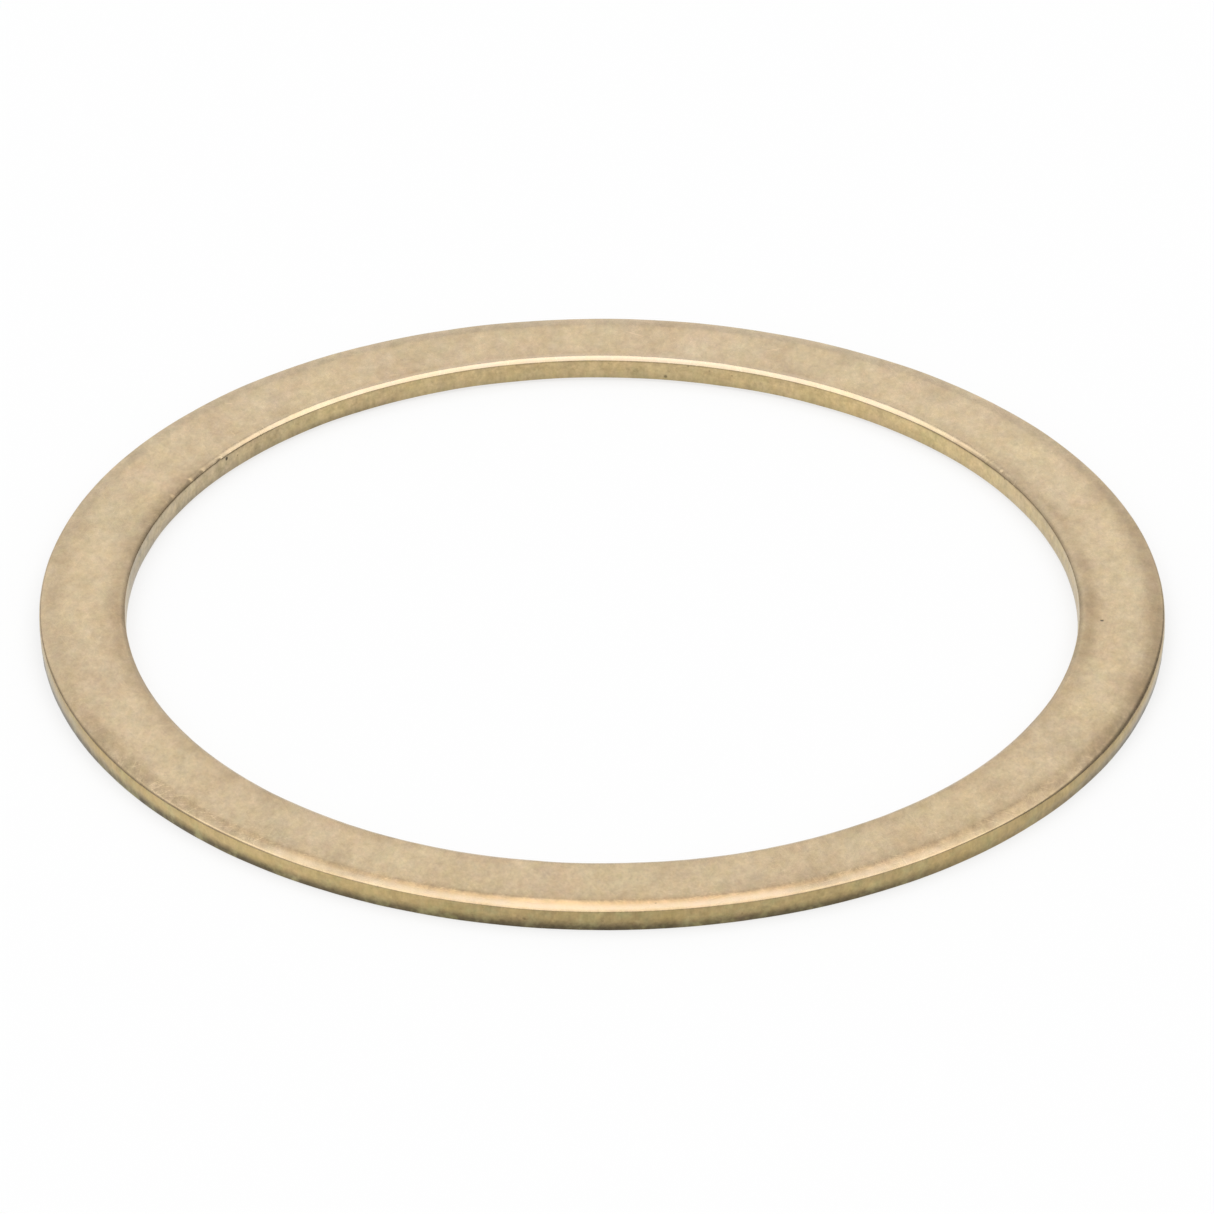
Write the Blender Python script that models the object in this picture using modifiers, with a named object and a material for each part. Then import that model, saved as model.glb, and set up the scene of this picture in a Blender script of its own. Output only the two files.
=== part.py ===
# A large, thin flat washer, pressed from rolled brass sheet and tumbled: one piece with no moving parts.
#
# A press makes it in two strokes. The hole is punched first, from what is the underside here, and the
# ring is then blanked out through a die that the upper side rests on. So the two sheared edges are the
# same shape turned end for end: the outer one has its die roll on top and its broken burr underneath,
# and the hole has its die roll underneath and its broken burr on top.
#
# The underside lies on Z = 0, and the axis of the hole is +Z.

import math

import bpy

# Main sizes, in metres.
BORE_DIAMETER = 0.0482  # across the burnished land of the hole
FACE_WIDTH = 0.0044  # from the land of the hole out to the land of the rim
THICKNESS = 0.0013  # gauge of the sheet

# Die roll: the metal drawn down into the die before it shears.
RIM_ROLL_WIDTH = 0.0018  # how far in from the land the face starts to fall
RIM_ROLL_DROP = 0.00016  # how far it has fallen where it meets the wall
BORE_ROLL_WIDTH = 0.0011
BORE_ROLL_DROP = 0.00014
ROLL_POWER = 2.6  # the higher, the longer the face stays flat before it falls
CORNER_RADIUS = 0.00007  # where the roll turns down into the wall

# Wall: a burnished land rubbed straight by the tool, then a torn zone that draws back from it.
LAND_SHARE = 0.4  # of the height of the wall, between its two rounded edges
DIE_CLEARANCE = 0.00005  # between punch and die on each side, which is how far the torn zone draws back

# Break: the burr of each edge after tumbling has worn it round.
RIM_BREAK_WIDTH = 0.00012
RIM_BREAK_HEIGHT = 0.00011
BORE_BREAK_WIDTH = 0.00042
BORE_BREAK_HEIGHT = 0.00022

# Fineness of the model.
TURN_STEPS = 144
ROLL_POINTS = 6
CORNER_POINTS = 3
BREAK_POINTS = 4
MERGE_DISTANCE = 1e-6

BRASS_COLOUR = (0.61, 0.47, 0.30, 1.0)
BRASS_ROUGHNESS = 0.38

NAME = "flat_washer"


def clear_scene():
    for obj in list(bpy.data.objects):
        bpy.data.objects.remove(obj)


def die_roll(width, drop):
    """The face falling away faster and faster, then the small corner where it meets the wall."""
    slope = math.atan(ROLL_POWER * drop / width)
    corner_start = CORNER_RADIUS * (1 - math.sin(slope))
    points = []
    for i in range(ROLL_POINTS):
        along = i / ROLL_POINTS
        points.append((width + (corner_start - width) * along, drop * along**ROLL_POWER))
    for i in range(CORNER_POINTS + 1):
        turn = slope + (math.pi / 2 - slope) * i / CORNER_POINTS
        inset = CORNER_RADIUS * (1 - math.sin(turn))
        depth = drop + CORNER_RADIUS * (math.cos(slope) - math.cos(turn))
        points.append((inset, depth))
    return points


def worn_break(inset, width, height):
    """A quarter of an ellipse from the torn wall, at this inset, round to the far face."""
    points = []
    for i in range(BREAK_POINTS + 1):
        turn = math.pi / 2 * i / BREAK_POINTS
        points.append((inset + width * (1 - math.cos(turn)), THICKNESS - height * (1 - math.sin(turn))))
    return points


def sheared_edge(roll_width, roll_drop, break_width, break_height):
    """One cut edge, from the face that rolled over to the face with the burr.

    Each point is its inset, measured into the metal from the land, and its depth below the rolled face.
    """
    roll = die_roll(roll_width, roll_drop)
    wall_top = roll[-1][1]
    land_end = wall_top + LAND_SHARE * (THICKNESS - break_height - wall_top)
    return roll + [(0.0, land_end)] + worn_break(DIE_CLEARANCE, break_width, break_height)


def washer_section():
    """The closed section as (radius, height): down the rim, in under the face and up the hole."""
    bore_radius = BORE_DIAMETER / 2
    rim_radius = bore_radius + FACE_WIDTH
    rim = sheared_edge(RIM_ROLL_WIDTH, RIM_ROLL_DROP, RIM_BREAK_WIDTH, RIM_BREAK_HEIGHT)
    bore = sheared_edge(BORE_ROLL_WIDTH, BORE_ROLL_DROP, BORE_BREAK_WIDTH, BORE_BREAK_HEIGHT)
    down_rim = [(rim_radius - inset, THICKNESS - depth) for inset, depth in rim]
    up_bore = [(bore_radius + inset, depth) for inset, depth in bore]
    return down_rim + up_bore


def turn_section(name, section):
    """Turns a closed section of (radius, height) points once round Z."""
    mesh = bpy.data.meshes.new(name)
    points = [(radius, 0.0, height) for radius, height in section]
    edges = [(i, (i + 1) % len(points)) for i in range(len(points))]
    mesh.from_pydata(points, edges, [])
    obj = bpy.data.objects.new(name, mesh)
    turn = obj.modifiers.new("Turn", "SCREW")
    turn.axis = "Z"
    turn.angle = 2 * math.pi
    turn.steps = TURN_STEPS
    turn.render_steps = TURN_STEPS
    turn.use_merge_vertices = True
    turn.merge_threshold = MERGE_DISTANCE
    turn.use_smooth_shade = True
    obj.modifiers.new("Flat faces stay flat", "WEIGHTED_NORMAL")
    return obj


def brass():
    material = bpy.data.materials.new("tumbled_brass")
    material.use_nodes = True
    shader = material.node_tree.nodes["Principled BSDF"]
    shader.inputs["Base Color"].default_value = BRASS_COLOUR
    shader.inputs["Metallic"].default_value = 1.0
    shader.inputs["Roughness"].default_value = BRASS_ROUGHNESS
    return material


def main():
    clear_scene()
    parts = bpy.data.collections.new(NAME)
    bpy.context.scene.collection.children.link(parts)
    washer = turn_section("washer_ring", washer_section())
    washer.data.materials.append(brass())
    parts.objects.link(washer)


main()
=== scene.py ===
import math

import bpy
import numpy as np
from mathutils import Matrix, Vector


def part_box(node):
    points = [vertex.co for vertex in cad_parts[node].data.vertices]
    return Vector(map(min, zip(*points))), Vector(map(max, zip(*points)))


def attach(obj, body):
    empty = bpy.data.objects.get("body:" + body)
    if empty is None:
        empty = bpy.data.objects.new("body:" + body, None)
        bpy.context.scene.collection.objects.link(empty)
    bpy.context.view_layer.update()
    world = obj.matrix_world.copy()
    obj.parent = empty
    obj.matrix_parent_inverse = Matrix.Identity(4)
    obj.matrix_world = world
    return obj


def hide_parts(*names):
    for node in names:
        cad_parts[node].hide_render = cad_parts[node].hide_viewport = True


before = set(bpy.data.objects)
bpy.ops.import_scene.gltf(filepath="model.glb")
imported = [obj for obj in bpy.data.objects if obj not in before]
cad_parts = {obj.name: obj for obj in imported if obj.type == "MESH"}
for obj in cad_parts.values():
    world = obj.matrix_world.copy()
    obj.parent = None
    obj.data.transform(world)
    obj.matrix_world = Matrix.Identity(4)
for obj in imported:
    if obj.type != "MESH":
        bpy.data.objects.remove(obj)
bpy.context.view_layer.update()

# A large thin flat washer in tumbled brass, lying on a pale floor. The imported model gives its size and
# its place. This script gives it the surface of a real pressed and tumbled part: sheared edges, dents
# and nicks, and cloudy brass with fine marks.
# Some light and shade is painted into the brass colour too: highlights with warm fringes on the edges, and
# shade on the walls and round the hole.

millimetre = 0.001


def ringSizes(name):
    # bore radius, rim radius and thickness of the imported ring
    low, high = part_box(name)
    points = np.array([corner.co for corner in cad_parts[name].data.vertices])
    return float(np.hypot(points[:, 0], points[:, 1]).min()), high.x, high.z - low.z


boreRadius, rimRadius, thickness = ringSizes("washer_ring")
print(f"frame loaded: bore {2000 * boreRadius:.1f} mm, outside {2000 * rimRadius:.1f} mm")


# Camera

camera = {
    "elevation": 31.852,  # degrees above the floor
    "distance": 22.72,  # from the middle of the ring, in rim radii
    "lens": 378.7,  # mm
    "sensor": 36.0,  # mm
    "roll": 0.193,  # degrees
    "aimRight": 0.0086,  # middle of the picture, in rim radii from the middle of the ring
    "aimUp": 0.0292,
    "nearest": 0.01,  # m, between which things are seen
    "furthest": 20.0,
}


def addCamera():
    data = bpy.data.cameras.new("camera")
    data.sensor_width = camera["sensor"]
    data.lens = camera["lens"]
    data.clip_start = camera["nearest"]
    data.clip_end = camera["furthest"]
    obj = bpy.data.objects.new("camera", data)
    bpy.context.scene.collection.objects.link(obj)
    tilt, roll = math.radians(camera["elevation"]), math.radians(camera["roll"])
    right = Vector((1.0, 0.0, 0.0))
    up = Vector((0.0, math.sin(tilt), math.cos(tilt)))
    place = Vector((0.0, -math.cos(tilt), math.sin(tilt))) * camera["distance"] * rimRadius
    aim = (right * camera["aimRight"] + up * camera["aimUp"]) * rimRadius
    back = (place - aim).normalized()
    up = back.cross(right * math.cos(roll) + up * math.sin(roll)).normalized()
    turn = Matrix((up.cross(back), up, back)).transposed()
    obj.matrix_world = Matrix.Translation(place) @ turn.to_4x4()
    bpy.context.scene.camera = obj


addCamera()
print("camera placed")


# Shader maths

softFrom = {"mark": 0.35, "line": 0.3, "spot": 0.4}  # share of its size from which each starts to fade


class Wire:  # an output socket that Python sums can be written with
    def __init__(self, graph, socket):
        self.graph = graph
        self.socket = socket

    def __add__(self, other):
        return self.graph.math("ADD", self, other)

    def __sub__(self, other):
        return self.graph.math("SUBTRACT", self, other)

    def __rsub__(self, other):
        return self.graph.math("SUBTRACT", other, self)

    def __mul__(self, other):
        return self.graph.math("MULTIPLY", self, other)

    __radd__ = __add__
    __rmul__ = __mul__


class Graph:  # the nodes of one material or of the world
    def __init__(self, owner):
        owner.use_nodes = True
        self.tree = owner.node_tree
        self.tree.nodes.clear()

    def add(self, kind, settings={}, inputs={}, output=0):
        node = self.tree.nodes.new("ShaderNode" + kind)
        for name, value in settings.items():
            if name == "stops":
                self.setStops(node.color_ramp.elements, value)
            else:
                setattr(node, name, value)
        for name, value in inputs.items():
            if isinstance(value, Wire):
                self.tree.links.new(value.socket, node.inputs[name])
            else:
                node.inputs[name].default_value = value
        return Wire(self, node.outputs[output]) if node.outputs else None

    def setStops(self, elements, stops):
        while len(elements) < len(stops):
            elements.new(1.0)
        for element, (position, level) in zip(elements, stops):
            element.position = position
            element.color = (level, level, level, 1.0)

    def math(self, operation, *values):
        return self.add("Math", {"operation": operation}, dict(enumerate(values)))

    def smooth(self, start, end, value):  # 0 at start, 1 at end
        return self.add("MapRange", {"interpolation_type": "SMOOTHSTEP"}, {0: value, 1: start, 2: end})

    def ramp(self, value, stops):  # (position, value) pairs, the values up to 2
        halves = [(position, level / 2) for position, level in stops]
        return self.add("ValToRGB", {"stops": halves}, {0: value}) * 2.0

    def split(self, vector):
        outputs = self.add("SeparateXYZ", {}, {0: vector}).socket.node.outputs
        return [Wire(self, output) for output in outputs]

    def mix(self, share, first, second):  # colours
        return self.add("Mix", {"data_type": "RGBA"}, {0: share, 6: first, 7: second}, 2)

    def scaled(self, vector, amount):
        return self.add("VectorMath", {"operation": "SCALE"}, {0: vector, "Scale": amount})

    def moved(self, place, step):  # so that two patterns don't fall together
        return self.add("VectorMath", {"operation": "ADD"}, {0: place, 1: (step, step / 2, step / 3)})

    def mask(self, name):  # a value kept at each corner of the mesh
        return self.add("Attribute", {"attribute_name": name}, {}, "Fac")

    # about 0 to 1, with blotches of this size in mm
    def noise(self, place, size, detail=2.0, sharpness=0.5, output=0):
        inputs = {"Vector": place, "Scale": 1.0 / size, "Detail": detail, "Roughness": sharpness}
        return self.add("TexNoise", {}, inputs, output)

    def turned(self, vector, angle):  # round Z, in degrees
        inputs = {"Vector": vector, "Angle": math.radians(angle)}
        return self.add("VectorRotate", {"rotation_type": "Z_AXIS"}, inputs)

    def times(self, vector, amounts):
        return self.add("VectorMath", {"operation": "MULTIPLY"}, {0: vector, 1: amounts})

    def scratch(self, place, turn, sizes):  # fine straight marks that lie this many degrees from X
        stretch = (1 / sizes["length"], 1 / sizes["width"], 1.0)
        long = self.times(self.turned(place, turn), stretch)
        return self.smooth(*sizes["edges"], self.noise(long, 1.0, 1.0))

    def mark(self, place, centre, size):  # one round mark
        away = self.add("VectorMath", {"operation": "DISTANCE"}, {0: place, 1: centre}, "Value")
        return self.smooth(size, size * softFrom["mark"], away)

    def line(self, place, centre, turn, length, width):  # one straight mark on the face
        out = self.add("VectorMath", {"operation": "SUBTRACT"}, {0: place, 1: centre})
        along, across, _ = self.split(self.turned(out, -turn))
        along, across = self.math("ABSOLUTE", along), self.math("ABSOLUTE", across)
        ends = self.smooth(length / 2, length / 4, along)
        return ends * self.smooth(width, width * softFrom["line"], across)

    def spots(self, place, sizes):  # small round marks, some in each few cells
        cell = self.add("TexVoronoi", {}, {"Vector": place, "Scale": 1 / sizes["spacing"]})
        outputs = cell.socket.node.outputs
        chosen = self.math("LESS_THAN", Wire(self, outputs["Color"]), sizes["share"])
        size = sizes["size"] / sizes["spacing"]
        return chosen * self.smooth(size, size * softFrom["spot"], Wire(self, outputs["Distance"]))


def rgb(colour):
    return (*colour, 1.0)


# Studio: pale floor and soft light

studio = {
    "floorHalf": 3.0,  # m
    "floorGap": 0.02,  # mm under the ring
    "floorColour": (0.75, 0.75, 0.75),
    "floorWhite": 0.72,  # share of plain white in the floor that is seen
    # the room behind the ring, from the floor up: (height of the direction, brightness, where 1 is white)
    "backLevels": ((0.0, 0.80), (0.17, 1.02), (0.34, 0.84), (0.50, 1.12), (0.60, 0.97), (0.70, 0.60)),
    "backEdges": (0.12, 0.72),  # how far to each side that part reaches, and where it has faded out
    "leftLevels": ((0.0, 0.38), (0.3, 0.38), (0.5, 0.62), (0.65, 0.80)),
    "rightLevels": ((0.0, 0.20), (0.3, 0.25), (0.5, 0.41), (0.65, 0.54), (0.8, 0.80)),
    "frontLevels": ((0.0, 0.55), (0.3, 0.65), (0.6, 0.95)),
    "sideEdges": (-0.2, 0.2),  # from left to right, where one side gives way to the other
    "frontEdges": (-0.5, 0.1),  # from front to back, where the front gives way to the rest
    "panelLevel": 1.92,  # the soft panel overhead
    "panelMiddle": (0.015, -0.049, 1.0),
    "panelEdges": (48.0, 42.1),  # degrees from its middle: where it starts and where it is full
}


def addWorld():
    world = bpy.data.worlds.new("studio")
    bpy.context.scene.world = world
    graph = Graph(world)
    towards = graph.add("TexCoord")
    x, y, z = graph.split(towards)
    behind = graph.ramp(z, studio["backLevels"])
    left, right, front = [graph.ramp(z, studio[name + "Levels"]) for name in ("left", "right", "front")]
    side = left + (right - left) * graph.smooth(*studio["sideEdges"], x)
    room = behind + graph.smooth(*studio["backEdges"], graph.math("ABSOLUTE", x)) * (side - behind)
    room = front + graph.smooth(*studio["frontEdges"], y) * (room - front)
    middle = Vector(studio["panelMiddle"]).normalized()
    near = graph.add("VectorMath", {"operation": "DOT_PRODUCT"}, {0: towards, 1: middle}, "Value")
    panel = graph.smooth(*[math.cos(math.radians(angle)) for angle in studio["panelEdges"]], near)
    light = room + panel * (studio["panelLevel"] - room)
    level = light + graph.add("LightPath") * (1.0 - light)  # the camera sees plain white
    shade = graph.add("Background", {}, {"Color": rgb((1.0, 1.0, 1.0)), "Strength": level})
    graph.add("OutputWorld", {}, {"Surface": shade})


def addFloor():
    half, low = studio["floorHalf"], -studio["floorGap"] * millimetre
    mesh = bpy.data.meshes.new("floor")
    corners = [(-half, -half, low), (half, -half, low), (half, half, low), (-half, half, low)]
    mesh.from_pydata(corners, [], [(0, 1, 2, 3)])
    obj = bpy.data.objects.new("floor", mesh)
    bpy.context.scene.collection.objects.link(obj)
    material = bpy.data.materials.new("paleFloor")
    graph = Graph(material)
    inputs = {"Base Color": rgb(studio["floorColour"]), "Roughness": 1.0, "Specular IOR Level": 0.0}
    paper = graph.add("BsdfPrincipled", {}, inputs)
    # From under the floor it can be seen through, so that the underside of the ring shows.
    fromBelow = graph.add("NewGeometry", {}, {}, "Backfacing")
    passed = graph.add("LightPath", {}, {}, "Transparent Depth")
    clear = graph.math("MAXIMUM", fromBelow, graph.math("GREATER_THAN", passed, 0.5))
    # The eye and the metal see a floor nearer to plain white, with a soft shadow.
    kinds = ("Is Camera Ray", "Is Glossy Ray", "Is Transmission Ray")
    eye, metal, glass = [graph.add("LightPath", {}, {}, kind) for kind in kinds]
    seen = graph.math("MAXIMUM", graph.math("MAXIMUM", eye, metal), glass)
    white = graph.add("Emission", {}, {"Color": rgb((1.0, 1.0, 1.0)), "Strength": 1.0})
    paper = graph.add("MixShader", {}, {0: seen * studio["floorWhite"], 1: paper, 2: white})
    shade = graph.add("MixShader", {}, {0: clear, 1: paper, 2: graph.add("BsdfTransparent")})
    graph.add("OutputMaterial", {}, {"Surface": shade})
    mesh.materials.append(material)


addWorld()
addFloor()
bpy.context.scene.view_settings.view_transform = "Standard"
print("studio made")


# Brass

brassLook = {
    "face": (0.672, 0.520, 0.326),
    "faceCool": (0.655, 0.523, 0.334),
    # the walls are darker than the face, partly their own colour and partly painted shade for the dim floor
    # they reflect
    "outerWall": (0.45, 0.337, 0.162),
    "outerWallShadedLow": (0.115, 0.093, 0.056),  # painted shade: darker towards the underside, where the wall reflects the shade near the floor
    "innerWall": (0.56, 0.425, 0.222),
    # the wall of the hole has the same painted shade towards the underside
    "innerWallShadedLow": (0.44, 0.345, 0.190),
    "wallGreen": (0.40, 0.36, 0.180),
    "innerReflectedGrey": (0.53, 0.435, 0.290),  # painted reflection: the wall of the hole grey at the sides, where it reflects the neutral room at a slant
    "tarnish": (0.34, 0.235, 0.130),
    "paintedEdgeShade": (0.16, 0.105, 0.055),  # painted shade: the dark line in the corner under the upper edge of the hole
    "rubbed": (0.655, 0.532, 0.380),  # painted highlight: paler brass on the two upper edges, where the highlight falls
    "highlightFringeColour": (0.690, 0.475, 0.262),  # painted warm fringe beside the painted highlight on the rim
    "rolling": 1.6,  # how far the marks are drawn out along Y, the way the sheet was rolled
    # patterns: (how far moved, so that no two fall together, size of the blotches in mm, detail, sharpness)
    "patterns": {
        "hue": (31.0, 1.3, 3.0, 0.8), "green": (57.0, 1.5, 3.0, 0.7), "ragged": (91.0, 0.35, 2.0, 0.7),
        "grain": (11.0, 0.34, 2.0, 0.85), "streaks": (71.0, 0.22, 2.0, 0.6), "torn": (83.0, 0.34, 3.0, 0.7),
        "blotches": (77.0, 0.9, 3.0, 0.7), "bumps": (5.0, 0.42, 2.0, 0.7),
    },
    "hueEdges": (0.30, 0.70),  # of its pattern, where one colour of the face gives way to the other
    "greenEdges": (0.45, 0.75),
    "green": {"outer": 0.7, "innerLess": 0.3},  # how much of it the walls have, and less in the hole
    "clouds": {"size": 1.9, "detail": 2.0, "sharpness": 0.85, "strength": 0.84, "start": 0.30},
    "tints": [(0.55, (0.120, 0.050, 0.210)), (2.8, (0.110, 0.060, 0.190))],  # size, how far each wanders
    "tintDetail": (3.0, 0.7),
    "tintMoved": (63.0, 20.0),  # the first, and each one more
    "highlightDulling": {"rim": 0.27, "innerLess": 0.15},  # share of the darker colour left in the painted highlight, and less in the hole
    "grain": {"contrast": 0.56, "paintedHighlightLess": 0.7, "roughness": 0.12},
    "scratches": {
        "length": 1.6, "width": 0.07, "edges": (0.66, 0.78), "height": 0.0012, "shine": 0.10,
        "turns": (12.0, 63.0, 108.0, 151.0), "moved": (3.0, 7.0),  # the first, and each one more
    },
    # bright specks: painted glints
    "specks": {"moved": 19.0, "spacing": 0.42, "size": 0.055, "share": 0.16, "shine": 0.16},
    "pits": {"moved": 43.0, "spacing": 0.80, "size": 0.075, "share": 0.12, "depth": 0.016, "shade": 0.25},
    "bumps": {"height": 0.0028, "edgeLess": 0.85},
    "streaks": {"stretch": 0.25, "height": 0.002, "contrast": 0.42},
    "tornGrain": {"height": 0.008, "contrast": 0.85},
    "wallBlotches": 0.55,
    "faceRoughness": 0.19,
    "wallRoughness": 0.30,
    "tarnishRoughness": 0.08,
    # painted shade: a dark line round the hole under its upper edge, where it reflects the darker room: mm
    # below the face, where it ends and is full, how ragged
    "paintedEdgeShadeLine": {"depth": 0.140, "edges": (0.115, 0.03), "ragged": (0.25, 0.5), "paintedEdgeShadeShare": 0.2},
    # (angle in degrees, radius, height, size in mm, how dark)
    "singlePits": [
        (356.25, 25.32, 1.30, 0.125, 0.66), (143.5, 24.12, 1.02, 0.150, 0.85),
        (141.4, 24.12, 0.80, 0.080, 0.45), (85.2, 24.05, 1.27, 0.070, 0.55),
        (82.2, 24.12, 0.37, 0.120, 0.50), (79.4, 24.12, 1.10, 0.080, 0.45),
        (76.7, 24.12, 0.95, 0.070, 0.35), (100.8, 24.12, 1.10, 0.080, 0.35),
        (73.8, 24.12, 0.85, 0.080, 0.35), (31.0, 24.12, 1.12, 0.100, 0.45),
        (262.4, 28.48, 0.55, 0.110, 0.30), (284.0, 28.48, 0.50, 0.100, 0.30),
    ],
    # on the face: (angle, radius, turn from the way out, length, width, how bright)
    "singleScratches": [
        (86.5, 26.75, 64.0, 1.25, 0.060, 0.17), (70.4, 26.65, -52.4, 1.20, 0.060, 0.15),
        (135.0, 27.50, 45.0, 0.45, 0.070, 0.16), (139.4, 25.20, -23.4, 0.75, 0.060, 0.14),
        (156.3, 25.20, 70.0, 0.80, 0.060, 0.12), (51.0, 26.30, 40.0, 0.70, 0.060, 0.10),
        (116.0, 24.90, 80.0, 0.60, 0.060, 0.12), (232.0, 26.30, 4.0, 2.60, 0.060, -0.07),
        (229.0, 26.60, 55.0, 1.60, 0.050, -0.06),
    ],
}


def onRing(angle, radius, height=0.0):
    turn = math.radians(angle)
    return radius * math.cos(turn), radius * math.sin(turn), height


def makeBrass():
    look = brassLook
    material = bpy.data.materials.new("tumbledBrass")
    graph = Graph(material)
    place = graph.scaled(graph.add("TexCoord", {}, {}, "Object"), 1 / millimetre)
    masks = ("wall", "low", "inner", "tarnish", "warm", "rubbed", "edge", "torn", "burr", "grey", "wallShade")
    wall, low, inner, tarnish, warm, rubbed, edge, torn, burr, grey, wallShade = map(graph.mask, masks)
    torn = wall * torn
    sheet = graph.times(place, (1.0, 1 / look["rolling"], 1.0))

    def pattern(name, over):
        moved, size, detail, sharpness = look["patterns"][name]
        return graph.noise(graph.moved(over, moved), size, detail, sharpness)

    hue = graph.smooth(*look["hueEdges"], pattern("hue", sheet))
    face = graph.mix(hue, rgb(look["face"]), rgb(look["faceCool"]))
    # painted highlight: paler brass, with a warm fringe, where the highlight falls on the edges
    face = graph.mix(rubbed, face, rgb(look["rubbed"]))
    face = graph.mix(warm, face, rgb(look["highlightFringeColour"]))
    # painted shade: the walls darken towards the underside
    outerWall = graph.mix(low, rgb(look["outerWall"]), rgb(look["outerWallShadedLow"]))
    innerWall = graph.mix(low, rgb(look["innerWall"]), rgb(look["innerWallShadedLow"]))
    side = graph.mix(inner, outerWall, innerWall)
    green = graph.smooth(*look["greenEdges"], pattern("green", place))
    green = green * (look["green"]["outer"] - inner * look["green"]["innerLess"])
    side = graph.mix(green, side, rgb(look["wallGreen"]))
    # painted reflection: the wall of the hole turns grey at the sides
    side = graph.mix(grey * inner, side, rgb(look["innerReflectedGrey"]))
    cloud = look["clouds"]
    clouds = graph.noise(sheet, cloud["size"], cloud["detail"], cloud["sharpness"]) - cloud["start"]
    highlightDulling = look["highlightDulling"]["rim"] - inner * look["highlightDulling"]["innerLess"]
    dull = (tarnish + clouds * cloud["strength"]) * (1.0 - rubbed) + rubbed * highlightDulling
    face = graph.mix(dull, face, rgb(look["tarnish"]))
    colour = graph.mix(wall, face, side)
    # painted shade: a dark line round the hole under its upper edge
    line = look["paintedEdgeShadeLine"]
    depth = thickness / millimetre - graph.add("SeparateXYZ", {}, {0: place}, "Z")
    away = graph.math("ABSOLUTE", depth - line["depth"])
    ragged = graph.smooth(*line["ragged"], pattern("ragged", place) + burr * line["paintedEdgeShadeShare"])
    paintedEdgeShade = inner * burr * graph.smooth(*line["edges"], away) * ragged
    colour = graph.mix(paintedEdgeShade, colour, rgb(look["paintedEdgeShade"]))

    # how light each spot is
    grain = pattern("grain", sheet) - 0.5
    streaks = pattern("streaks", graph.times(place, (1.0, 1.0, look["streaks"]["stretch"]))) - 0.5
    rough = pattern("torn", place) - 0.5
    scratches = 0.0
    first, more = look["scratches"]["moved"]
    for k, turn in enumerate(look["scratches"]["turns"]):
        scratches = graph.scratch(graph.moved(place, more * k + first), turn, look["scratches"]) + scratches
    speck = graph.spots(graph.moved(place, look["specks"]["moved"]), look["specks"])
    pit = graph.spots(graph.moved(place, look["pits"]["moved"]), look["pits"]) * look["pits"]["shade"]
    for angle, radius, height, size, dark in look["singlePits"]:
        pit = pit + graph.mark(place, onRing(angle, radius, height), size) * dark
    shine = scratches * look["scratches"]["shine"] + speck * look["specks"]["shine"]
    for angle, radius, turn, length, width, bright in look["singleScratches"]:
        shine = shine + graph.line(place, onRing(angle, radius), angle + turn, length, width) * bright
    unhighlighted = 1.0 - rubbed * look["grain"]["paintedHighlightLess"]
    shade = 1.0 + grain * unhighlighted * look["grain"]["contrast"] + (1.0 - wall) * shine - pit
    # painted light and shade: the walls lighter or darker round the ring
    shade = shade + wall * (1.0 - torn) * streaks * look["streaks"]["contrast"] + wall * wallShade
    shade = shade + torn * rough * look["tornGrain"]["contrast"]
    shade = shade + wall * (pattern("blotches", place) - 0.5) * look["wallBlotches"]
    colour = graph.scaled(colour, shade)
    for k, (size, wander) in enumerate(look["tints"]):
        moved = look["tintMoved"][0] + look["tintMoved"][1] * k
        tint = graph.noise(graph.moved(sheet, moved), size, *look["tintDetail"], "Color")
        least = Vector((1, 1, 1)) - Vector(wander) / 2
        tint = graph.add("VectorMath", {"operation": "MULTIPLY_ADD"}, {0: tint, 1: wander, 2: least})
        colour = graph.times(colour, tint)

    # how high each spot stands, in mm
    height = pattern("bumps", sheet) * look["bumps"]["height"] * (1.0 - edge * look["bumps"]["edgeLess"])
    height = height - pit * look["pits"]["depth"]
    height = height - scratches * look["scratches"]["height"] * (1.0 - wall)
    height = height + wall * (1.0 - torn) * streaks * look["streaks"]["height"]
    height = height + torn * rough * look["tornGrain"]["height"]
    bump = graph.add("Bump", {}, {"Strength": 1.0, "Distance": millimetre, "Height": height})
    roughness = look["faceRoughness"] + wall * (look["wallRoughness"] - look["faceRoughness"])
    roughness = roughness + grain * look["grain"]["roughness"] + tarnish * look["tarnishRoughness"]
    inputs = {"Base Color": colour, "Metallic": 1.0, "Roughness": roughness, "Normal": bump}
    shader = graph.add("BsdfPrincipled", {}, inputs)
    graph.add("OutputMaterial", {}, {"Surface": shader})
    print(f"brass made: {len(graph.tree.nodes)} nodes")
    return material


# Ring

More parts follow.
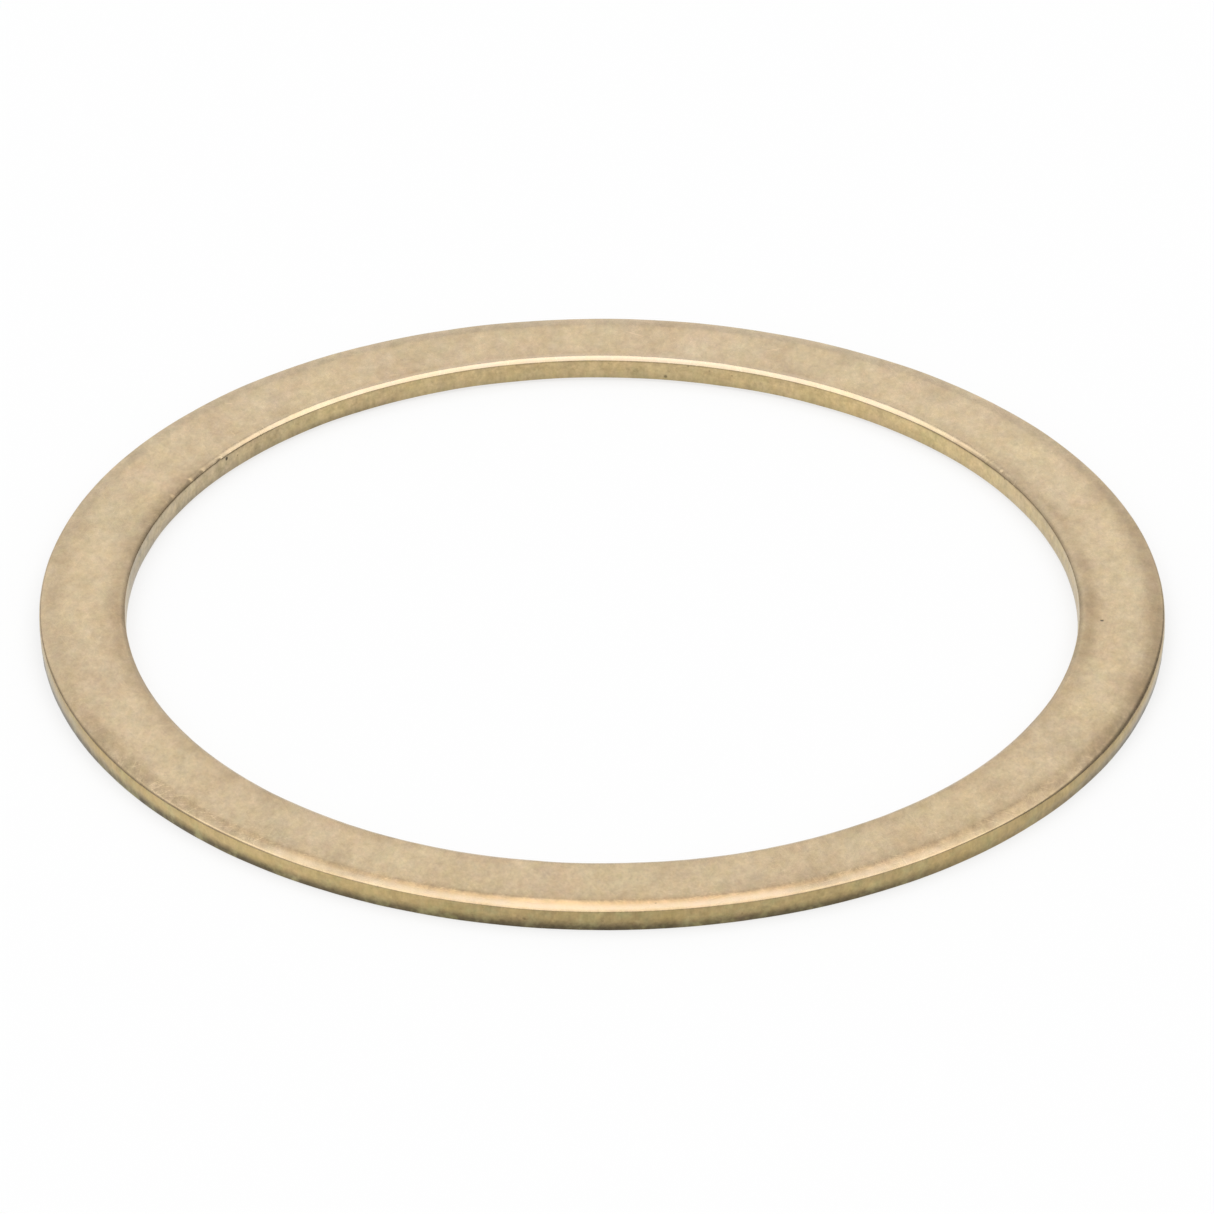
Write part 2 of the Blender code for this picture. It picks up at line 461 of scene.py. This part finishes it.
ring = {  # sizes in mm
    "steps": 1180,
    # its edges, at the rim above and below, then at the hole below and above
    "rimRoll": {"width": 0.90, "drop": 0.108, "power": 1.3, "corner": 0.110, "points": (9, 9)},
    "rimWear": {"width": 0.25, "drop": 0.015, "power": 2.0, "corner": 0.065, "points": (3, 4)},
    "boreRoll": {"width": 1.10, "drop": 0.14, "power": 2.6, "corner": 0.07, "points": (5, 3)},
    "boreWear": {"width": 0.40, "drop": 0.107, "power": 2.1, "corner": 0.100, "points": (9, 8)},
    # where an edge is rounder, deeper or wider: (angle in degrees, its reach, share more, or less if below 0)
    "rounder": {"rimRoll": [(341, 15, 2.6), (208, 18, 1.0)]},
    "deeper": {"rimRoll": [(323, 13, 0.72), (349, 8, 0.35), (217, 9, 0.20), (256, 8, 0.16), (272, 8, 0.05),
                           (299, 7, 0.12)]},
    "wider": {"boreWear": [(120, 14, -0.28)]},
    "uneven": (0.06, 3.0),  # share by which widths and drops wander, and over which length
    "landShare": 0.4,  # of the wall, burnished by the tool
    "landUneven": (0.25, 1.2),  # share by which the end of the land wanders, and over which length
    "landRows": (0.33, 0.67, 1.0),  # share of the land, down to each row of points
    "tornRows": ((0.15, 0.25), (0.45, 0.6), (0.75, 0.85)),  # the same below it, and how far drawn back
    "dieClearance": 0.05,  # how far the torn part of the wall draws back
    "sunk": 0.004,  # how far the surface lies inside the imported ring, for room for its unevenness
    "seeds": {"rim": 100, "bore": 200, "wear": 10, "land": 20, "surface": 300},
    "waves": {"count": 48, "sizes": (0.6, 1.4)},  # the sum of which each random field is
    "facePoints": 12,
    "underPoints": 8,
    "uvStrips": 4,  # the unrolled ring, in quarters laid side by side
    "uvMargin": 0.01,  # of a strip
    "surface": {  # unevenness by zone, in mm, at three sizes of blotch in mm
        "sizes": (2.2, 0.8, 0.35),
        "blend": 2,  # rounds that even out the step from zone to zone
        "face": (0.0012, 0.0007, 0.0003),
        "under": (0.0012, 0.0007, 0.0003),
        "roll": (0.0016, 0.0010, 0.0004),
        "wear": (0.0020, 0.0014, 0.0006),
        "land": (0.0010, 0.0010, 0.0008),
        "torn": (0.0020, 0.0040, 0.0060),
    },
    # dents at random: the least and the most of each, and how far from the surface they may be centred
    "dents": {"count": 420, "radius": (0.14, 0.42), "depth": (0.0010, 0.0055), "stray": 0.05, "seed": 41},
    # (angle in degrees, radius and height in mm, reach, depth)
    "nicks": [
        (144.7, 24.18, 1.12, 0.18, 0.050), (85.3, 24.25, 1.27, 0.14, 0.020),
        (151.0, 24.30, 1.25, 0.20, 0.025), (155.5, 24.32, 1.26, 0.26, 0.022),
        (148.2, 24.25, 1.24, 0.16, 0.020), (160.5, 24.30, 1.26, 0.22, 0.020),
        (32.0, 24.30, 1.26, 0.15, 0.020), (121.5, 24.28, 1.25, 0.16, 0.016),
        (262.0, 28.42, 1.12, 0.16, 0.016), (244.5, 28.40, 1.12, 0.15, 0.014),
        (301.0, 28.44, 1.10, 0.15, 0.016), (68.5, 24.12, 0.62, 0.20, 0.016),
        (103.0, 24.12, 0.50, 0.16, 0.016), (82.2, 24.12, 0.40, 0.16, 0.022),
    ],
}


def waves(points, size, seed):
    # smooth random field at these points, about -1 to 1, with blotches of about this size
    random = np.random.default_rng(seed)
    count = ring["waves"]["count"]
    turns = random.normal(size=(count, 3))
    turns /= np.linalg.norm(turns, axis=1)[:, None]
    turns *= (math.pi / size * random.uniform(*ring["waves"]["sizes"], count))[:, None]
    total = np.zeros(points.shape[:-1])
    for turn, start in zip(turns, random.uniform(0, 2 * math.pi, count)):
        total += np.cos(points @ turn + start)
    return total * math.sqrt(2 / count)


def swell(angles, humps):
    # sum of smooth humps round the ring: (angle in degrees, reach, strength)
    total = 0.0 * angles
    for angle, reach, strength in humps:
        away = (np.degrees(angles) - angle + 180) % 360 - 180
        total += strength * np.exp(-(away / reach) ** 2)
    return total


def onRim(angles):
    return np.stack([np.cos(angles), np.sin(angles), 0 * angles], -1) * rimRadius / millimetre


def softEdge(name, edge, angles, seed):
    # (zone, inset from the wall, depth under the face): the face falls away, then turns a small corner
    sizes = ring[edge]

    def uneven(size, step, where):
        share, length = ring["uneven"]
        humps = ring[where].get(edge, ())
        return sizes[size] * (1 + share * waves(onRim(angles), length, seed + step) + swell(angles, humps))

    width, drop = uneven("width", 1, "wider"), uneven("drop", 2, "deeper")
    power, corner = sizes["power"], uneven("corner", 3, "rounder")
    steepPoints, cornerPoints = sizes["points"]
    slope = np.arctan(power * drop / width)
    start = corner * (1 - np.sin(slope))
    points = []
    for i in range(steepPoints):
        along = i / steepPoints
        points.append((name, width + (start - width) * along, drop * along ** power))
    for i in range(cornerPoints + 1):
        turn = slope + (math.pi / 2 - slope) * i / cornerPoints
        points.append((name, corner * (1 - np.sin(turn)), drop + corner * (np.cos(slope) - np.cos(turn))))
    return points


def shearedEdge(roll, worn, angles, seed):
    # from the face that rolled over, down the wall, to the edge where the burr has worn away
    top = thickness / millimetre
    rolled = softEdge("roll", roll, angles, seed)
    broken = softEdge("wear", worn, angles, seed + ring["seeds"]["wear"])
    wallTop, wallEnd = rolled[-1][2], top - broken[-1][2]
    share, length = ring["landUneven"]
    wander = 1 + share * waves(onRim(angles), length, seed + ring["seeds"]["land"])
    landEnd = wallTop + (wallEnd - wallTop) * ring["landShare"] * wander
    wall = [("land", 0.0, wallTop + (landEnd - wallTop) * down) for down in ring["landRows"]]
    for down, drawn in ring["tornRows"]:
        wall.append(("torn", ring["dieClearance"] * drawn, landEnd + (wallEnd - landEnd) * down))
    broken = [(name, ring["dieClearance"] + inset, top - depth) for name, inset, depth in reversed(broken)]
    return rolled + wall + broken


def ringSection(angles):
    # zones, radii and heights of the closed section at each angle: down the rim, in under, up the bore
    bore, rim, top = boreRadius / millimetre, rimRadius / millimetre, thickness / millimetre
    rimEdge = shearedEdge("rimRoll", "rimWear", angles, ring["seeds"]["rim"])
    boreEdge = shearedEdge("boreRoll", "boreWear", angles, ring["seeds"]["bore"])
    outer = [(zone, rim - inset, top - depth) for zone, inset, depth in rimEdge]
    inner = [(zone, bore + inset, depth) for zone, inset, depth in boreEdge]

    def across(zone, count, start, end, height):
        return [(zone, start + (end - start) * i / count, height) for i in range(1, count)]

    under = across("under", ring["underPoints"], outer[-1][1], inner[0][1], 0.0)
    face = across("face", ring["facePoints"], inner[-1][1], outer[0][1], top)
    points = outer + under + inner + face
    zones = [point[0] for point in points]
    radii, heights = (np.stack([point[k] + 0 * angles for point in points], -1) for k in (1, 2))
    return zones, radii, heights


def spread(values, rounds):
    # evens out a row of values that closes on itself
    for _ in range(rounds):
        values = (np.roll(values, 1) + 2 * values + np.roll(values, -1)) / 4
    return values


def outwards(places):
    # the way out of the metal at each point
    across = np.roll(places, -1, 1) - np.roll(places, 1, 1)
    around = np.roll(places, -1, 0) - np.roll(places, 1, 0)
    normals = np.cross(across, around)
    return normals / np.linalg.norm(normals, axis=-1)[..., None]


def hollow(places, centre, reach, depth):
    # depth of a rounded hollow round this centre, at each point
    near = np.clip(np.sum((places - centre) ** 2, -1) / reach ** 2, 0, 1)
    return depth * (1 - near) ** 2


def roughen(places, zones):
    # the uneven surface, with its dents and nicks
    normals = outwards(places)
    height = np.full(places.shape[:2], -ring["sunk"])
    surface, dents = ring["surface"], ring["dents"]
    for k, size in enumerate(surface["sizes"]):
        amounts = spread(np.array([surface[zone][k] for zone in zones]), surface["blend"])
        height += amounts * waves(places, size, ring["seeds"]["surface"] + k)
    random = np.random.default_rng(dents["seed"])
    steps, count = places.shape[:2]
    for _ in range(dents["count"]):
        centre = places[random.integers(steps), random.integers(count)]
        centre = centre + random.normal(size=3) * dents["stray"]
        height -= hollow(places, centre, random.uniform(*dents["radius"]), random.uniform(*dents["depth"]))
    for angle, radius, level, reach, depth in ring["nicks"]:
        height -= hollow(places, np.array(onRing(angle, radius, level)), reach, depth)
    return places + normals * height[..., None]


def keepInside(places):
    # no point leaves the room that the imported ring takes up
    radii = np.hypot(places[..., 0], places[..., 1])
    limit = np.clip(radii, boreRadius / millimetre, rimRadius / millimetre) / radii
    places[..., :2] *= limit[..., None]
    places[..., 2] = np.clip(places[..., 2], 0.0, thickness / millimetre)
    return places


# Wear and painted light and shade, which the brass is told through masks

wear = {  # angles in degrees, the rest in mm
    # darker patches, partly real stains and partly painted shade where the edges face darker parts of the
    # room and where the highlight on the rim is toned down: (angle, its reach, radius, its reach, strength)
    "stainsAndShade": [
        (2.0, 17.0, 24.75, 0.42, 0.34), (345.0, 20.0, 24.60, 0.50, 0.16), (30.0, 16.0, 24.62, 0.34, 0.16),
        (325.0, 24.0, 27.75, 0.45, 0.16), (0.0, 26.0, 27.95, 0.50, 0.19), (30.0, 20.0, 28.05, 0.45, 0.10),
        (156.0, 11.0, 24.42, 0.34, 0.38), (112.0, 10.0, 24.62, 0.30, 0.10),
        (272.0, 50.0, 28.40, 0.30, 0.12), (270.0, 40.0, 27.20, 0.60, 0.06),
        (183.0, 20.0, 24.50, 0.50, 0.36), (210.0, 18.0, 24.50, 0.50, 0.15),
        (240.0, 12.0, 24.60, 0.40, 0.09), (315.0, 14.0, 24.60, 0.40, 0.12),
        (20.0, 12.0, 24.90, 0.50, 0.11), (10.0, 20.0, 27.85, 0.50, 0.24),
        (163.0, 20.0, 27.85, 0.45, 0.16), (90.0, 48.0, 27.95, 0.40, 0.14),
        (197.0, 18.0, 27.85, 0.60, 0.22), (3.0, 18.0, 28.30, 0.26, 0.21),
        (228.0, 11.0, 28.25, 0.30, 0.24), (321.0, 9.0, 28.20, 0.30, 0.32),
        (270.0, 34.0, 28.48, 0.10, 0.40), (343.0, 14.0, 28.20, 0.34, 0.20),
    ],
    "bands": [(24.62, 0.36, 0.09), (27.45, 0.45, 0.03)],  # darker rings all round, partly tarnish and partly painted shade where the face starts to fall: (radius, its reach, strength)
    # (angle, its reach, strength)
    "patches": [(32.0, 22.0, -0.07), (180.0, 38.0, -0.02), (293.0, 22.0, 0.07), (90.0, 24.0, 0.03)],
    # how strong the painted dark line round the hole is: (angle, its reach, strength)
    "paintedEdgeShadeHumps": [(157.0, 15.0, 0.40), (36.0, 12.0, 0.40), (90.0, 30.0, 0.25), (20.0, 10.0, 0.25)],
    # where the wall of the hole shows the painted grey reflection: (angle, its reach, strength)
    "reflectedGreys": [(155.0, 20.0, 0.75), (26.0, 14.0, 0.30)],
    # where the painted shade near the underside of the walls is lighter, or darker if below 0
    "lowShadeLess": {"outer": [(317.0, 14.0, 0.60), (225.0, 9.0, -0.25)], "inner": [(132.0, 11.0, -0.90)]},
    # painted light and shade: where the walls are lighter, or darker if below 0, as they catch more or less
    # light
    "wallShades": {
        "outer": [(228.0, 24.0, 0.30), (310.0, 9.0, 0.08), (268.0, 12.0, -0.10)],
        "inner": [(36.0, 18.0, 0.22), (140.0, 13.0, -0.08), (170.0, 9.0, -0.28), (62.0, 9.0, 0.10)],
        "innerLow": [(154.0, 10.0, -0.34), (124.0, 11.0, -0.16)],  # only the lower half
    },
    # painted highlight: paler brass with a warm fringe beside it, where the highlight falls: the near part of
    # the rim and the far part of the hole
    "rim": {
        "where": [(270, 38, 1.0)],
        "warm": (0.64, 0.22, 0.95),  # in from the rim, its reach, strength
        "rubbed": (0.72, 0.36),  # in from the rim, where it starts and where it is full
        "lip": (0.22, 0.06, 0.75),  # the same for the very edge, and how much less painted highlight it has there
        "smooth": (0.90, 0.50),  # the same, where the small bumps are worn away
    },
    "bore": {
        "where": [(86, 52, 1.0)],
        "warm": (0.54, 0.12, 0.30),
        "rubbed": (0.60, 0.38),  # the small bumps are worn away here too
    },
    # share of the height over which the upper side starts, and the painted shade at the foot of the walls
    # ends
    "upperFrom": (0.25, 0.6),
    "lowShadeTo": (0.08, 0.55),
    # steepness from which the surface is wall, in its upper and its lower part
    "upperWall": (0.80, 0.97),
    "lowerWall": (0.2, 0.7),
}


def smoothStep(start, end, values):
    share = np.clip((values - start) / (end - start), 0, 1)
    return share * share * (3 - 2 * share)


def surfaceMasks(angles, radii, heights, zones):
    # what the brass is told at each point
    bore, rim, top = boreRadius / millimetre, rimRadius / millimetre, thickness / millimetre
    runRadius = np.roll(radii, -1, 1) - np.roll(radii, 1, 1)
    runHeight = np.roll(heights, -1, 1) - np.roll(heights, 1, 1)
    steepness = np.abs(runHeight) / np.hypot(runRadius, runHeight)
    upper = smoothStep(*wear["upperFrom"], heights / top)
    wall = upper * smoothStep(*wear["upperWall"], steepness)
    wall = wall + (1 - upper) * smoothStep(*wear["lowerWall"], steepness)
    upperFace = upper * (1 - wall)
    inner = (radii < (bore + rim) / 2) + 0.0

    def around(humps):
        return swell(angles, humps)[:, None]

    def within(distance, reach):
        return np.exp(-(distance / reach) ** 2)

    # stains and painted shade on the face
    tarnish = np.zeros(radii.shape)
    for angle, reach, radius, width, strength in wear["stainsAndShade"]:
        tarnish += around([(angle, reach, strength)]) * within(radii - radius, width)
    for radius, width, strength in wear["bands"]:
        tarnish += strength * within(radii - radius, width)
    tarnish += around(wear["patches"])

    # painted highlight and its warm fringe, on the near rim and the far side of the hole
    rimWear, boreWear = wear["rim"], wear["bore"]
    near, far = around(rimWear["where"]), around(boreWear["where"])
    inset, reach, strength = rimWear["warm"]
    warm = near * strength * within(radii - rim + inset, reach)
    inset, reach, strength = boreWear["warm"]
    warm = warm + far * strength * within(radii - bore - inset, reach)

    start, end = rimWear["rubbed"]
    rubbed = near * smoothStep(rim - start, rim - end, radii)
    start, end, less = rimWear["lip"]
    rubbed = rubbed * (1 - less * smoothStep(rim - start, rim - end, radii))
    start, end = boreWear["rubbed"]
    boreEdge = smoothStep(bore + start, bore + end, radii)
    rubbed = rubbed + far * boreEdge
    start, end = rimWear["smooth"]
    edge = smoothStep(rim - start, rim - end, radii) + boreEdge

    outerShade, innerShade, lowShade = map(around, wear["wallShades"].values())
    outerShadeLess, innerShadeLess = map(around, wear["lowShadeLess"].values())
    # painted shade at the foot of the walls
    low = 1 - smoothStep(*wear["lowShadeTo"], heights / top)
    low = low * (1 - np.where(inner > 0, innerShadeLess, outerShadeLess))
    flat = 0.0 * radii
    return {
        "wall": wall,
        "low": np.clip(low, 0, 1),
        "inner": inner,
        "torn": np.array([zone == "torn" for zone in zones]) + flat,
        "tarnish": tarnish * upperFace,
        "warm": warm * upperFace,
        "rubbed": rubbed * upperFace,
        "edge": edge * upper,
        "burr": around(wear["paintedEdgeShadeHumps"]) + flat,
        "grey": around(wear["reflectedGreys"]) + flat,
        "wallShade": np.where(inner > 0, innerShade + lowShade * low, outerShade),
    }


def makeRing():
    steps = ring["steps"]
    angles = np.arange(steps) * 2 * math.pi / steps
    zones, radii, heights = ringSection(angles)
    count = len(zones)
    places = np.stack([radii * np.cos(angles)[:, None], radii * np.sin(angles)[:, None], heights], -1)
    places = keepInside(roughen(places, zones))
    i, j = np.meshgrid(np.arange(steps), np.arange(count), indexing="ij")
    nextI, nextJ = (i + 1) % steps, (j + 1) % count
    quads = [i * count + j, i * count + nextJ, nextI * count + nextJ, nextI * count + j]  # faces outwards
    quads = np.stack(quads, -1).reshape(-1, 4)
    mesh = bpy.data.meshes.new("washerRing")
    mesh.from_pydata((places.reshape(-1, 3) * millimetre).tolist(), [], quads.tolist())
    layUv(mesh, radii[0], heights[0], i, j)
    for name, values in surfaceMasks(angles, radii, heights, zones).items():
        mesh.attributes.new(name, "FLOAT", "POINT").data.foreach_set("value", values.reshape(-1))
    mesh.polygons.foreach_set("use_smooth", np.ones(len(quads), bool))
    mesh.update()
    obj = bpy.data.objects.new("washerRing", mesh)
    bpy.context.scene.collection.objects.link(obj)
    mesh.materials.append(makeBrass())
    print(f"ring: {count} points round the section, {2 * len(quads)} triangles")
    return obj


def layUv(mesh, radii, heights, i, j):
    # one strip of the unrolled section for each part of a turn, laid side by side
    run = np.hypot(np.roll(radii, -1) - radii, np.roll(heights, -1) - heights)
    along = np.concatenate([[0.0], np.cumsum(run)]) / run.sum()
    strips, margin = ring["uvStrips"], ring["uvMargin"]
    length = ring["steps"] // strips
    left = (i % length) / length
    right = left + 1 / length
    strip = i // length
    low, high = ((strip + margin + (1 - 2 * margin) * along[j + k]) / strips for k in (0, 1))
    corners = np.stack([left, low, left, high, right, high, right, low], -1).reshape(-1)
    mesh.uv_layers.new(name="OFBake").data.foreach_set("uv", corners)


washerRing = makeRing()
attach(washerRing, "root")
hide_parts("washer_ring")
